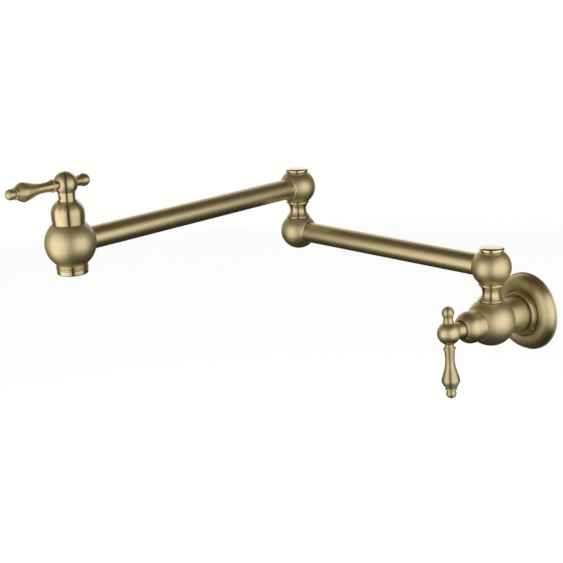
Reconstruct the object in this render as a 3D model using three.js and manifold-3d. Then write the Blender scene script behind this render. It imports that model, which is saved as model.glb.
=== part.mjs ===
// A wall mounted pot filler: a double-jointed swing spout with one lever valve at the wall and
// another above the outlet. Millimetres, +Z up. The wall is the plane y = 0, the supply comes in
// along the Y axis, and the spout stands out from the wall towards -Y.
import * as THREE from 'three';
import { mergeVertices, toCreasedNormals } from 'three/addons/utils/BufferGeometryUtils.js';
import Module from 'manifold-3d';

const wasm = await Module();
wasm.setup();

// Reach, and the pose that it stands in
const wallToSwivel = 50.5;
const innerReach = 250; // between the two swivel axes
const outerReach = 300; // from the elbow's axis to the outlet's
const armSwing = 9.85; // degrees between the inner arm and the wall
const elbowBend = 90; // degrees between the two arms
const leverLean = 3.5; // degrees that the wall lever hangs off plumb

// Clearances
const fit = 0.3; // round and under whatever seats, slides or turns
const seatStep = 0.35; // a machined seat shows this far past what sits on it

// Balls and arm tubes
const swivelBallR = 19;
const valveBallR = 23.5;
const tubeR = 10.5;
const tubeWall = 1.2;
const tubeInsert = 3.8; // how deep a tube goes in past the ball's skin
const armPassageR = 3.8;
const armPassageDrop = 1.5; // the water passage lies this far below a swivel ball's centre
const swivelChamberStep = 1.4; // from a swivel ball's bore out to its water chamber

// Spool-shaped collar between two balls
const collarHeight = 18.25;
const collarRimR = 12.2;
const collarNeckR = 8.5;
const collarRimBand = 2.1; // from the end face to where the waist starts
const collarRimStep = 0.3;
const collarChamfer = 1;
const collarWall = 1.5; // at the neck, round the spindle

// Hollow spindle that a swivel ball turns on
const spindleEngagement = 8; // thread in the lower ball
const spindleShoulder = 1.2;
const spindleWall = 1.7; // under the seal grooves
const spindlePortR = 2.4;
const ringCordR = 0.85;
const ringGrooveSlack = 0.35; // at each side of a seal ring
const lowerRingHeight = 5.5; // above the spindle's shoulder
const upperRingLand = 0.9; // metal above the upper seal's groove
const retainingThreadStep = 0.9; // from the groove floor in to the retaining thread
const nutThickness = 2.7;
const nutCornerGap = 0.2; // between the nut's corners and the ball's counterbore
const slipWasherThickness = 0.8;
const ledgeThickness = 2.5;

// Turned cap in the top of each swivel ball
const capNeckR = 10.3;
const capRimR = 12;
const capNeckHeight = 1.7; // up to the underside of the rim
const capRimThickness = 0.5;
const capDome = 2.9;
const capPlugStep = 2.3; // from the neck in to the plug
const capPlugDepth = 1.9;

// Ceramic disc cartridge
const cartridgeThreadR = 9.2;
const cartridgeSeatDepth = 9; // below the ball's centre
const cartridgeWall = 1.3;
const cartridgeThread = 10.3; // length under the flange
const cartridgeFlange = 3.5;
const cartridgeNeck = 8.2; // above the flange
const cartridgeNeckWall = 3.1;
const waterwayR = 5;
const seatSealThickness = 2.4;
const seatSealWidth = 3.4;
const discR = 6.6;
const discThickness = 2.5;
const discPortInnerR = 2.7;
const discPortOuterR = 5.4;
const discPortSpan = 80; // degrees
const driveSlot = 1.2; // depth in the turning disc
const driveBarWidth = 3;
const windowWidth = 6.4;
const windowHeight = 4.4;
const windowSill = 0.6; // above the turning disc
const stemR = 4.2;
const stemFoot = 2.2;
const stemDriveStep = 0.4;
const stemRingCordR = 0.5;
const stemRingBelowNeck = 5; // from the top of the cartridge's neck

// Bell-shaped bonnet over the cartridge
const bonnetBaseR = 14.75;
const bonnetMaxR = 15.35;
const bonnetStraight = 10;
const bonnetDome = 13.3;
const bonnetWall = 1.5;
const bonnetGap = 1.1; // round the handle's neck

// Handle: hub, lever and finial
const hubHeight = 54.9; // from the valve ball's centre to the hub's
const hubR = 11;
const hubNeckR = 7.9;
const hubNeckGap = 4.3; // from the cartridge up to the end of the handle's neck
const stemEngagement = 12.5;
const hubScrewR = 1.5;
const hubScrewSink = 1; // below the skin that it goes in through
const socketKeyR = 0.75;
const leverStubR = 3;
const leverStubLength = 5.5;
const leverCollarR = 4.25;
const leverCollarEnd = 13.4; // these six are measured out from the hub's centre
const leverGripStart = 15.3;
const leverGripEnd = 54.7;
const leverBandStart = 55.6;
const leverBandEnd = 57.3;
const leverBallCentre = 60;
const leverRingR = 5.9;
const leverWaistR = 4.4;
const leverBellyR = 8.7;
const leverGripEndR = 5.7;
const leverBandR = 5.3;
const leverGrooveR = 4.2;
const leverBallR = 4.9;
const finialStubR = 2.5;
const finialFootR = 5.2;
const finialNeckR = 4.3;
const finialBeadR = 5;
const finialBallR = 5.85;
const finialBallCentre = 20.3; // from the hub's centre

// Wall end: shank, supply socket and flange
const shankR = 17;
const shankRecess = 1; // the shank stops this far short of the wall
const supplySocketR = 9.6; // female thread for the supply nipple
const supplySocketDepth = 15;
const flangeR = 38.4;
const flangeRim = 1.5; // thickness of the outer band
const flangeRimStep = 0.5;
const flangeBellDepth = 11; // from the wall to the crest of the bell
const flangeCrestR = 27.5;
const flangeGrooveR = 22.2;
const flangeGrooveDepth = 8.3;
const flangeCollarR = 21.2;
const flangeCollarDepth = 15;
const flangeCollarBack = 4; // from the wall to the back of the collar
const flangeWall = 2;
const flangeScrewR = 1.5;
const flangeScrewAngle = -33; // degrees below level, on the +X side

// Outlet: beaded neck, aerator
const outletDrop = 28.3; // from the valve ball's centre to the outlet's rim
const outletNeckR = 13.7;
const outletBeadR = 14.75;
const outletBeads = 2;
const outletBeadPitch = 1.9;
const outletBandHeight = 5.1;
const aeratorR = 14.1;
const aeratorRound = 1.3;
const aeratorWall = 3; // from the thread to the visible band
const aeratorSkirt = 0.9;
const aeratorThread = 8.2;
const aeratorLip = 1.5;
const aeratorInsertWall = 1;
const aeratorInsertHeight = 8;
const aeratorRibs = 3; // bars right across, so twice as many spokes
const aeratorRibWidth = 1.1;
const aeratorRibHeight = 1.2;
const aeratorHubR = 2.6;
const aeratorWasherThickness = 1.2;

// How many flat sides stand for a circle
const flangeSides = 24;
const ballSides = 24;
const turnedSides = 18;
const handleSides = 12;
const hiddenSides = 12;
const smallSides = 8;

const deg = Math.PI / 180;

// Worked out from the sizes above
const heightOnBall = (ballR, r) => Math.sqrt(ballR ** 2 - r ** 2);
// A faceted bore's corner radius that leaves the fit between its flats and a shaft, however turned.
const boreFor = (shaftR, sides = hiddenSides) => (shaftR + fit) / Math.cos(Math.PI / sides);
// The radius that leaves the fit inside a faceted bore.
const insideOf = (boreR, sides) => boreR * Math.cos(Math.PI / sides) - fit;
const tubeEnd = (ballR) => heightOnBall(ballR, tubeR) - tubeInsert;
const swivelFlat = heightOnBall(swivelBallR, collarRimR);
const valveCollarFlat = heightOnBall(valveBallR, collarRimR);
const swivelRise = (lowerFlat) => lowerFlat + fit + collarHeight + fit + swivelFlat;

const spindleShankR = collarNeckR - collarWall - fit;
const spindleThreadBoreR = boreFor(spindleShankR);
const spindleJournalR = spindleShankR + spindleShoulder;
const spindleBottom = -swivelFlat - fit - collarHeight - fit - spindleEngagement;
const spindleShoulderZ = -swivelFlat;
const ringGrooveR = spindleJournalR - 2 * ringCordR - fit;
const spindleBoreR = ringGrooveR - spindleWall;
const retainingThreadR = ringGrooveR - retainingThreadStep;

const capPlugR = capNeckR - capPlugStep;
const capSeatR = capNeckR + seatStep;
const capSeat = heightOnBall(swivelBallR, capSeatR);
const capBase = capSeat + fit;
const capPlugBottom = capBase - capPlugDepth;
const capBoreR = boreFor(capPlugR);
const nutTop = capPlugBottom - fit;
const slipWasherTop = nutTop - nutThickness - fit;
const ledgeTop = slipWasherTop - slipWasherThickness - fit;
const ledgeBottom = ledgeTop - ledgeThickness;
const journalTop = ledgeBottom - fit;
const ringGrooveHalf = ringCordR + ringGrooveSlack;
const upperRingZ = journalTop - upperRingLand - ringGrooveHalf;
const lowerRingZ = spindleShoulderZ + lowerRingHeight;

const bonnetSeat = heightOnBall(valveBallR, bonnetBaseR + seatStep);
const bonnetBase = bonnetSeat + fit;
const bonnetShoulder = bonnetBase + bonnetStraight;
const bonnetHoleR = hubNeckR + bonnetGap;
const bonnetTop = bonnetShoulder + bonnetDome * Math.sqrt(1 - (bonnetHoleR / bonnetMaxR) ** 2);
const cartridgeBoreR = boreFor(cartridgeThreadR);
const cartridgeChamberR = boreFor(discR);
const cartridgeBarrelR = cartridgeChamberR + cartridgeWall;
const cartridgeFlangeR = insideOf(bonnetBaseR - bonnetWall, ballSides);
const cartridgeBottom = -cartridgeSeatDepth + fit + seatSealThickness + fit;
const cartridgeTop = bonnetBase + cartridgeFlange + cartridgeNeck;
const stemBoreR = boreFor(stemR);
const turningDiscBottom = cartridgeBottom + discThickness + fit;
const turningDiscTop = turningDiscBottom + discThickness;
const windowBottom = turningDiscTop + windowSill;
const stemFootBottom = windowBottom + windowHeight;
const stemFootTop = stemFootBottom + stemFoot;
const hubNeckBottom = cartridgeTop + hubNeckGap;
const stemShoulder = hubNeckBottom - fit;
const stemTop = hubNeckBottom + stemEngagement;
const stemDriveR = stemR - stemDriveStep;
const hubBoreR = boreFor(stemDriveR);
const hubScrewHeight = (bonnetTop + hubHeight - heightOnBall(hubR, hubNeckR)) / 2;
const leverSeat = heightOnBall(hubR, leverCollarR);
const finialSeat = heightOnBall(hubR, finialFootR);

const supplyFace = wallToSwivel - shankRecess; // from the valve ball's centre to the shank's end
const flangeBoreR = boreFor(shankR, flangeSides);
const flangeScrewDepth = (flangeGrooveDepth + flangeCollarDepth) / 2;

const outletNeckTop = -heightOnBall(valveBallR, outletNeckR);
const aeratorBottom = -outletDrop;
const aeratorShoulder = aeratorBottom + outletBandHeight;
const outletNeckBottom = aeratorShoulder + fit;
const aeratorThreadR = aeratorR - aeratorWall;
const aeratorBoreR = aeratorThreadR - aeratorSkirt;
const aeratorTop = aeratorShoulder + aeratorThread;
const aeratorInsertR = insideOf(aeratorBoreR, turnedSides);
const outletBoreTop = aeratorTop + fit + aeratorWasherThickness + fit;

// Finishes
const brass = { color: 0xa8966c, metalness: 1, roughness: 0.34 };
const polishedBrass = { color: 0xcdbd92, metalness: 1, roughness: 0.14 };
const rawBrass = { color: 0xb89a55, metalness: 1, roughness: 0.45 };
const rubber = { color: 0x1b1b1a, metalness: 0, roughness: 0.7 };
const ceramic = { color: 0xe9e6dc, metalness: 0, roughness: 0.2 };
const slipPlastic = { color: 0xe4e0d2, metalness: 0, roughness: 0.5 };
const steel = { color: 0x8d8d8b, metalness: 1, roughness: 0.35 };

// Solids

// A closed geometry as a solid that can be joined and cut.
function solid(geometry) {
  const bare = geometry.index ? geometry.toNonIndexed() : geometry.clone();
  bare.deleteAttribute('normal');
  bare.deleteAttribute('uv');
  const merged = mergeVertices(bare, 1e-4);
  const corners = merged.index.array;
  const triVerts = [];
  for (let i = 0; i < corners.length; i += 3) {
    const [a, b, c] = corners.slice(i, i + 3);
    if (a !== b && b !== c && c !== a) triVerts.push(a, b, c); // a face shrinks to a line on the axis
  }
  return new wasm.Manifold(
    new wasm.Mesh({
      numProp: 3,
      vertProperties: merged.attributes.position.array,
      triVerts: new Uint32Array(triVerts),
    }),
  );
}

const cut = (body, ...tools) => tools.reduce((rest, tool) => rest.subtract(tool), body);
const join = (...bodies) => bodies.reduce((whole, body) => whole.add(body));

// Turned about Z from an outline of [radius, height] points, which closes on itself or on the axis.
function turned(outline, sides) {
  const onAxis = outline[0][0] === 0 && outline.at(-1)[0] === 0;
  const loop = onAxis ? outline : [...outline, outline[0]];
  const twiceArea = outline.reduce((sum, [r, z], i) => {
    const [nextR, nextZ] = outline[(i + 1) % outline.length];
    return sum + r * nextZ - nextR * z;
  }, 0);
  const points = loop.map(([r, z]) => new THREE.Vector2(r, z));
  if (twiceArea < 0) points.reverse();
  return new THREE.LatheGeometry(points, sides).rotateX(Math.PI / 2);
}

// The same with its axis laid along +X, heights counting outwards.
const turnedAlongX = (outline, sides) => turned(outline, sides).rotateY(Math.PI / 2);

const ringOutline = (innerR, outerR, bottom, top) => [
  [innerR, bottom],
  [outerR, bottom],
  [outerR, top],
  [innerR, top],
];

const rodOutline = (r, bottom, top) => [[0, bottom], [r, bottom], [r, top], [0, top]];

// Points on an ellipse about [r, z], from one angle to another, in degrees.
function arc(r, z, halfWidth, halfHeight, from, to, steps) {
  return Array.from({ length: steps + 1 }, (_, i) => {
    const angle = (from + ((to - from) * i) / steps) * deg;
    return [r + halfWidth * Math.cos(angle), z + halfHeight * Math.sin(angle)];
  });
}

// The ball's outline from one height to another.
function ballArc(ballR, fromZ, toZ, steps) {
  const angleAt = (z) => Math.asin(z / ballR) / deg;
  return arc(0, 0, ballR, ballR, angleAt(fromZ), angleAt(toZ), steps);
}

function piece(name, body, finish) {
  const { vertProperties, triVerts } = body.getMesh();
  const geometry = new THREE.BufferGeometry();
  geometry.setAttribute('position', new THREE.BufferAttribute(vertProperties, 3));
  geometry.setIndex(new THREE.BufferAttribute(triVerts, 1));
  const mesh = new THREE.Mesh(toCreasedNormals(geometry, 35 * deg), new THREE.MeshStandardMaterial(finish));
  mesh.name = name;
  return mesh;
}

function groupOf(...members) {
  const group = new THREE.Group();
  group.add(...members);
  return group;
}

// Swivel joint

// The socket and water passage for an arm tube that enters a ball along +X.
function tubeSocket(ballR, passageR, passageZ) {
  const floor = tubeEnd(ballR) - fit;
  return join(
    solid(turnedAlongX(rodOutline(tubeR + fit, floor, ballR), turnedSides)),
    solid(turnedAlongX(rodOutline(passageR, 0, floor + fit), smallSides).translate(0, 0, passageZ)),
  );
}

function swivelBall() {
  const body = turned(
    [[0, -swivelFlat], ...ballArc(swivelBallR, -swivelFlat, capSeat, 6), [0, capSeat]],
    ballSides,
  );
  const boreR = boreFor(spindleJournalR);
  const ledgeBoreR = boreFor(retainingThreadR);
  const chamberR = boreR + swivelChamberStep;
  const chamberHalf = armPassageR + fit;
  const bore = turned(
    [
      [0, -swivelBallR],
      [boreR, -swivelBallR],
      [boreR, -armPassageDrop - chamberHalf],
      [chamberR, -armPassageDrop - chamberHalf],
      [chamberR, -armPassageDrop + chamberHalf],
      [boreR, -armPassageDrop + chamberHalf],
      [boreR, ledgeBottom],
      [ledgeBoreR, ledgeBottom],
      [ledgeBoreR, ledgeTop],
      [capBoreR, ledgeTop],
      [capBoreR, swivelBallR],
      [0, swivelBallR],
    ],
    hiddenSides,
  );
  return cut(solid(body), solid(bore), tubeSocket(swivelBallR, armPassageR, -armPassageDrop));
}

// The ball at the elbow that carries the next swivel: plain below, with a seat and a thread on top.
function elbowLowerBall() {
  const body = turned([...ballArc(swivelBallR, -swivelBallR, swivelFlat, 8), [0, swivelFlat]], ballSides);
  const bore = turned(rodOutline(spindleThreadBoreR, -armPassageR, swivelBallR), hiddenSides);
  return cut(solid(body), solid(bore), tubeSocket(swivelBallR, armPassageR, 0));
}

function collar() {
  const half = collarHeight / 2;
  const waistHalf = half - collarRimBand;
  const flare = collarRimR - collarRimStep - collarNeckR;
  const waistR = (waistHalf ** 2 + flare ** 2) / (2 * flare); // radius of the waist's hollow
  const spread = Math.asin(waistHalf / waistR) / deg;
  const outline = [
    [spindleThreadBoreR, -half],
    [collarRimR - collarChamfer, -half],
    [collarRimR, collarChamfer - half],
    [collarRimR, -waistHalf],
    ...arc(collarNeckR + waistR, 0, waistR, waistR, 180 + spread, 180 - spread, 4),
    [collarRimR, waistHalf],
    [collarRimR, half - collarChamfer],
    [collarRimR - collarChamfer, half],
    [spindleThreadBoreR, half],
  ];
  return solid(turned(outline, turnedSides));
}

function spindle() {
  const groove = (z) => [
    [spindleJournalR, z - ringGrooveHalf],
    [ringGrooveR, z - ringGrooveHalf],
    [ringGrooveR, z + ringGrooveHalf],
    [spindleJournalR, z + ringGrooveHalf],
  ];
  const boreTop = -armPassageDrop + spindlePortR + fit;
  const body = turned(
    [
      [0, boreTop],
      [spindleBoreR, boreTop],
      [spindleBoreR, spindleBottom],
      [spindleShankR, spindleBottom],
      [spindleShankR, spindleShoulderZ],
      [spindleJournalR, spindleShoulderZ],
      ...groove(lowerRingZ),
      ...groove(upperRingZ),
      [spindleJournalR, journalTop],
      [retainingThreadR, journalTop],
      [retainingThreadR, nutTop],
      [0, nutTop],
    ],
    hiddenSides,
  );
  const ports = turnedAlongX(rodOutline(spindlePortR, -swivelBallR, swivelBallR), smallSides);
  return cut(solid(body), solid(ports.translate(0, 0, -armPassageDrop)));
}

const sealRing = (middleR, cordR) => solid(new THREE.TorusGeometry(middleR, cordR, 4, hiddenSides));

function slipWasher() {
  const outline = ringOutline(
    boreFor(retainingThreadR),
    insideOf(capBoreR, hiddenSides),
    slipWasherTop - slipWasherThickness,
    slipWasherTop,
  );
  return solid(turned(outline, hiddenSides));
}

function retainingNut() {
  const bottom = nutTop - nutThickness;
  const hexagon = turned(rodOutline(insideOf(capBoreR, hiddenSides) - nutCornerGap, bottom, nutTop), 6);
  const thread = turned(rodOutline(boreFor(retainingThreadR), bottom - fit, nutTop + fit), hiddenSides);
  return cut(solid(hexagon), solid(thread));
}

function swivelCap() {
  const rimBottom = capBase + capNeckHeight;
  const rimTop = rimBottom + capRimThickness;
  const flare = capRimR - capNeckR;
  const outline = [
    [0, capPlugBottom],
    [capPlugR, capPlugBottom],
    [capPlugR, capBase],
    ...arc(capNeckR + flare, capBase, flare, capNeckHeight, 180, 90, 2), // hollow flare
    ...arc(0, rimTop, capRimR, capDome, 0, 90, 4),
  ];
  outline.at(-1)[0] = 0;
  return solid(turned(outline, turnedSides));
}

// One swivel, in the frame of the ball that turns: what stays with the lower ball, and what turns.
function swivelPieces(prefix) {
  const ringR = ringGrooveR + fit + ringCordR;
  const place = (mesh, z) => {
    mesh.position.z = z;
    return mesh;
  };
  return [
    place(piece(`${prefix}_collar`, collar(), brass), -swivelFlat - fit - collarHeight / 2),
    piece(`${prefix}_spindle`, spindle(), rawBrass),
    place(piece(`${prefix}_lower_seal_ring`, sealRing(ringR, ringCordR), rubber), lowerRingZ),
    place(piece(`${prefix}_upper_seal_ring`, sealRing(ringR, ringCordR), rubber), upperRingZ),
    piece(`${prefix}_slip_washer`, slipWasher(), slipPlastic),
    piece(`${prefix}_retaining_nut`, retainingNut(), rawBrass),
    piece(`${prefix}_cap`, swivelCap(), polishedBrass),
  ];
}

// Valve, in a frame with its origin at the valve ball's centre and +Z out through the handle

function cartridgeBody() {
  const threadBottom = bonnetBase - cartridgeThread;
  const flangeTop = bonnetBase + cartridgeFlange;
  const neckR = stemBoreR + cartridgeNeckWall;
  const body = turned(
    [
      [cartridgeChamberR, cartridgeBottom],
      [cartridgeBarrelR, cartridgeBottom],
      [cartridgeBarrelR, threadBottom],
      [cartridgeThreadR, threadBottom],
      [cartridgeThreadR, bonnetBase],
      [cartridgeFlangeR, bonnetBase],
      [cartridgeFlangeR, flangeTop],
      [neckR, flangeTop],
      [neckR, cartridgeTop],
      [stemBoreR, cartridgeTop],
      [stemBoreR, stemFootTop + fit],
      [cartridgeChamberR, stemFootTop + fit],
    ],
    hiddenSides,
  );
  const windowZ = windowBottom + windowHeight / 2;
  const windows = new THREE.BoxGeometry(windowWidth, 3 * cartridgeBarrelR, windowHeight);
  return cut(solid(body), solid(windows.translate(0, 0, windowZ)));
}

// A ceramic disc with two sector ports, which face each other across the line at portAngle.
function ceramicDisc(bottom, portAngle) {
  const ports = [0, 180].map((side) => {
    const from = (portAngle + side - discPortSpan / 2) * deg;
    const to = (portAngle + side + discPortSpan / 2) * deg;
    const shape = new THREE.Shape();
    shape.absarc(0, 0, discPortOuterR, from, to, false);
    shape.absarc(0, 0, discPortInnerR, to, from, true);
    shape.closePath();
    const depth = discThickness + 2 * fit;
    const sector = new THREE.ExtrudeGeometry(shape, { depth, bevelEnabled: false, curveSegments: 2 });
    return solid(sector.translate(0, 0, bottom - fit));
  });
  return cut(solid(turned(rodOutline(discR, bottom, bottom + discThickness), hiddenSides)), ...ports);
}

function turningDisc() {
  const slot = new THREE.BoxGeometry(3 * discR, driveBarWidth + 2 * fit, 2 * driveSlot);
  return cut(ceramicDisc(turningDiscBottom, 90), solid(slot.translate(0, 0, turningDiscTop)));
}

// The stem's foot reaches down through the windows' height as a bar that drives the turning disc.
function valveStem() {
  const ringZ = cartridgeTop - stemRingBelowNeck;
  const grooveHalf = stemRingCordR + fit;
  const grooveR = stemR - 2 * stemRingCordR - fit;
  const body = turned(
    [
      [0, stemFootBottom],
      [discR, stemFootBottom],
      [discR, stemFootTop],
      [stemR, stemFootTop],
      [stemR, ringZ - grooveHalf],
      [grooveR, ringZ - grooveHalf],
      [grooveR, ringZ + grooveHalf],
      [stemR, ringZ + grooveHalf],
      [stemR, stemShoulder],
      [stemDriveR, stemShoulder],
      [stemDriveR, stemTop],
      [0, stemTop],
    ],
    hiddenSides,
  );
  const barBottom = turningDiscTop - driveSlot + fit;
  const barHeight = stemFootBottom + stemFoot / 2 - barBottom;
  const bar = new THREE.BoxGeometry(1.8 * discR, driveBarWidth, barHeight);
  return join(solid(body), solid(bar.translate(0, 0, barBottom + barHeight / 2)));
}

function seatSeal() {
  const bottom = -cartridgeSeatDepth + fit;
  const outline = ringOutline(
    cartridgeBarrelR - seatSealWidth,
    cartridgeBarrelR,
    bottom,
    bottom + seatSealThickness,
  );
  return solid(turned(outline, hiddenSides));
}

function bonnet() {
  const innerMaxR = bonnetMaxR - bonnetWall;
  const innerDome = bonnetDome - bonnetWall;
  const lipAngle = (maxR) => Math.acos(bonnetHoleR / maxR) / deg;
  const outline = [
    [bonnetBaseR - bonnetWall, bonnetBase],
    [bonnetBaseR, bonnetBase],
    ...arc(0, bonnetShoulder, bonnetMaxR, bonnetDome, 0, lipAngle(bonnetMaxR), 5),
    ...arc(0, bonnetShoulder, innerMaxR, innerDome, lipAngle(innerMaxR), 0, 2),
  ];
  return solid(turned(outline, ballSides));
}

// The hub's neck goes down through the bonnet's hole and grips the stem.
function handleHub() {
  const bottomZ = hubNeckBottom - hubHeight;
  const neckTop = -heightOnBall(hubR, hubNeckR);
  const body = turned(
    [[0, bottomZ], [hubNeckR, bottomZ], ...ballArc(hubR, neckTop, hubR, 6).slice(0, -1), [0, hubR]],
    turnedSides,
  );
  const bore = turned(rodOutline(hubBoreR, bottomZ - fit, stemTop + fit - hubHeight), hiddenSides);
  const seatFor = (stubR, seat, footR) => [
    [0, leverSeat - leverStubLength - fit],
    [boreFor(stubR), leverSeat - leverStubLength - fit],
    [boreFor(stubR), seat],
    [footR + seatStep, seat],
    [footR + seatStep, hubR + fit],
    [0, hubR + fit],
  ];
  const leverHole = turnedAlongX(seatFor(leverStubR, leverSeat, leverCollarR), hiddenSides);
  const finialHole = turnedAlongX(seatFor(finialStubR, finialSeat, finialFootR), hiddenSides);
  const screwHole = turnedAlongX(rodOutline(hubScrewR + fit, hubBoreR / 2, hubR), smallSides);
  return cut(
    solid(body),
    solid(bore),
    solid(leverHole),
    solid(finialHole.rotateZ(Math.PI)),
    solid(screwHole.translate(0, 0, hubScrewHeight - hubHeight)),
  );
}

// A headless screw along +X with a hexagon key socket in its outer end.
function socketScrew(r, from, to) {
  const key = turnedAlongX(rodOutline(socketKeyR, (from + to) / 2, to + fit), 6);
  return cut(solid(turnedAlongX(rodOutline(r, from, to), smallSides)), solid(key));
}

// The grip swells from a thin waist to a belly near its end, as a smooth curve.
function lever() {
  const grooveAngle = Math.acos(leverGrooveR / leverBallR) / deg; // where the ball meets its groove
  const gripLength = leverGripEnd - leverGripStart;
  const along = (share, r) => new THREE.Vector2(r, leverGripStart + share * gripLength);
  const grip = new THREE.SplineCurve([
    along(0, leverWaistR + 0.7),
    along(0.24, leverWaistR),
    along(0.45, leverWaistR + 0.7),
    along(0.62, (leverWaistR + leverBellyR) / 2 + 0.25),
    along(0.81, leverBellyR),
    along(0.93, leverBellyR - 1.6),
    along(1, leverGripEndR),
  ]);
  const outline = [
    [0, leverSeat - leverStubLength + fit],
    [leverStubR, leverSeat - leverStubLength + fit],
    [leverStubR, leverSeat + fit],
    [leverCollarR, leverSeat + fit],
    [leverCollarR, leverCollarEnd],
    [leverRingR, leverCollarEnd + 0.5],
    [leverRingR, leverGripStart - 0.5],
    ...grip.getPoints(7).map(({ x, y }) => [x, y]),
    [leverGrooveR, leverGripEnd + 0.3],
    [leverBandR, leverBandStart],
    [leverBandR, leverBandEnd],
    [leverGrooveR, leverBandEnd + 0.3],
    ...arc(0, leverBallCentre, leverBallR, leverBallR, -grooveAngle, 90, 4),
  ];
  outline.at(-1)[0] = 0;
  return solid(turnedAlongX(outline, handleSides));
}

// The finial balances the lever on the hub's other side: a ball on a hollow-sided neck.
function finial() {
  const neckAngle = Math.acos(finialNeckR / finialBallR) / deg; // where the ball meets its neck
  const beadZ = finialBallCentre - heightOnBall(finialBallR, finialNeckR) - 0.6;
  const neckStart = finialSeat + fit;
  const outline = [
    [0, leverSeat - leverStubLength + fit],
    [finialStubR, leverSeat - leverStubLength + fit],
    [finialStubR, neckStart],
    [finialFootR, neckStart],
    [finialFootR, neckStart + 0.5],
    [finialNeckR, (neckStart + beadZ) / 2],
    [finialNeckR, beadZ - 0.3],
    [finialBeadR, beadZ],
    ...arc(0, finialBallCentre, finialBallR, finialBallR, -neckAngle, 90, 4),
  ];
  outline.at(-1)[0] = 0;
  return solid(turnedAlongX(outline, handleSides));
}

// What turns with the lever, and what stays; leverAngle is the lever's direction about the valve's axis.
function valvePieces(prefix, leverAngle) {
  const stemRingR = stemR - stemRingCordR;
  const stemRing = piece(`${prefix}_stem_seal_ring`, sealRing(stemRingR, stemRingCordR), rubber);
  stemRing.position.z = cartridgeTop - stemRingBelowNeck;
  const screw = piece(
    `${prefix}_hub_screw`,
    socketScrew(hubScrewR, hubBoreR, hubNeckR - hubScrewSink),
    steel,
  );
  screw.position.z = hubScrewHeight;
  const onHub = groupOf(
    piece(`${prefix}_handle_hub`, handleHub(), brass),
    piece(`${prefix}_lever`, lever(), brass),
  );
  const finialMesh = piece(`${prefix}_finial`, finial(), brass);
  finialMesh.rotation.z = Math.PI;
  onHub.add(finialMesh);
  onHub.position.z = hubHeight;
  const handle = groupOf(onHub, screw);
  handle.rotation.z = leverAngle * deg;
  return groupOf(
    piece(`${prefix}_seat_seal`, seatSeal(), rubber),
    piece(`${prefix}_fixed_disc`, ceramicDisc(cartridgeBottom, 0), ceramic),
    piece(`${prefix}_turning_disc`, turningDisc(), ceramic),
    piece(`${prefix}_cartridge_body`, cartridgeBody(), rawBrass),
    piece(`${prefix}_stem`, valveStem(), rawBrass),
    stemRing,
    piece(`${prefix}_bonnet`, bonnet(), brass),
    handle,
  );
}

// Valve balls

// The bore for the cartridge, with its seat and the waterway under it, and what follows below.
function cartridgeBore(...below) {
  const bore = [
    [0, valveBallR],
    [cartridgeBoreR, valveBallR],
    [cartridgeBoreR, -cartridgeSeatDepth],
    [waterwayR, -cartridgeSeatDepth],
    ...below,
  ];
  return solid(turned([...bore, [0, below.at(-1)[1]]], hiddenSides));
}

// +Z points out from the wall here and +Y up. The shank runs back to the supply nipple.
function wallValveBody() {
  const shankMeets = -heightOnBall(valveBallR, shankR);
  const body = turned(
    [
      [0, -supplyFace],
      [shankR, -supplyFace],
      ...ballArc(valveBallR, shankMeets, bonnetSeat, 6),
      [0, bonnetSeat],
    ],
    ballSides,
  );
  const bore = cartridgeBore(
    [waterwayR, supplySocketDepth - supplyFace],
    [supplySocketR, supplySocketDepth - supplyFace],
    [supplySocketR, -supplyFace - fit],
  );
  const aboveSeat = new THREE.BoxGeometry(2 * valveBallR, valveBallR, 2 * valveBallR);
  const spindleThread = turned(rodOutline(spindleThreadBoreR, 0, valveBallR), hiddenSides);
  return cut(
    solid(body),
    solid(aboveSeat.translate(0, valveCollarFlat + valveBallR / 2, 0)),
    solid(spindleThread.rotateX(-Math.PI / 2)),
    bore,
  );
}

// The arm comes in along +X and the outlet points down, with beads above the aerator.
function spoutBody() {
  const beadEdge = outletBeadPitch / 4;
  const beads = Array.from({ length: outletBeads }, (_, i) => {
    const z = outletNeckTop - (i + 0.5) * outletBeadPitch;
    return [
      [outletNeckR, z - 2 * beadEdge + 0.1],
      [outletBeadR, z - beadEdge],
      [outletBeadR, z + beadEdge],
    ];
  }).reverse();
  const body = turned(
    [
      [0, outletNeckBottom],
      [outletNeckR, outletNeckBottom],
      ...beads.flat(),
      ...ballArc(valveBallR, outletNeckTop, bonnetSeat, 6),
      [0, bonnetSeat],
    ],
    ballSides,
  );
  const bore = cartridgeBore(
    [waterwayR, outletBoreTop],
    [boreFor(aeratorThreadR), outletBoreTop],
    [boreFor(aeratorThreadR), outletNeckBottom - fit],
  );
  return cut(solid(body), bore, tubeSocket(valveBallR, armPassageR, 0));
}

// Outlet

function aeratorHousing() {
  const lipR = aeratorBoreR - aeratorSkirt;
  const outline = [
    [lipR, aeratorBottom],
    ...arc(aeratorR - aeratorRound, aeratorBottom + aeratorRound, aeratorRound, aeratorRound, -90, 0, 3),
    [aeratorR, aeratorShoulder],
    [aeratorThreadR, aeratorShoulder],
    [aeratorThreadR, aeratorTop],
    [aeratorBoreR, aeratorTop],
    [aeratorBoreR, aeratorBottom + aeratorLip],
    [lipR, aeratorBottom + aeratorLip],
  ];
  return solid(turned(outline, turnedSides));
}

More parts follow.
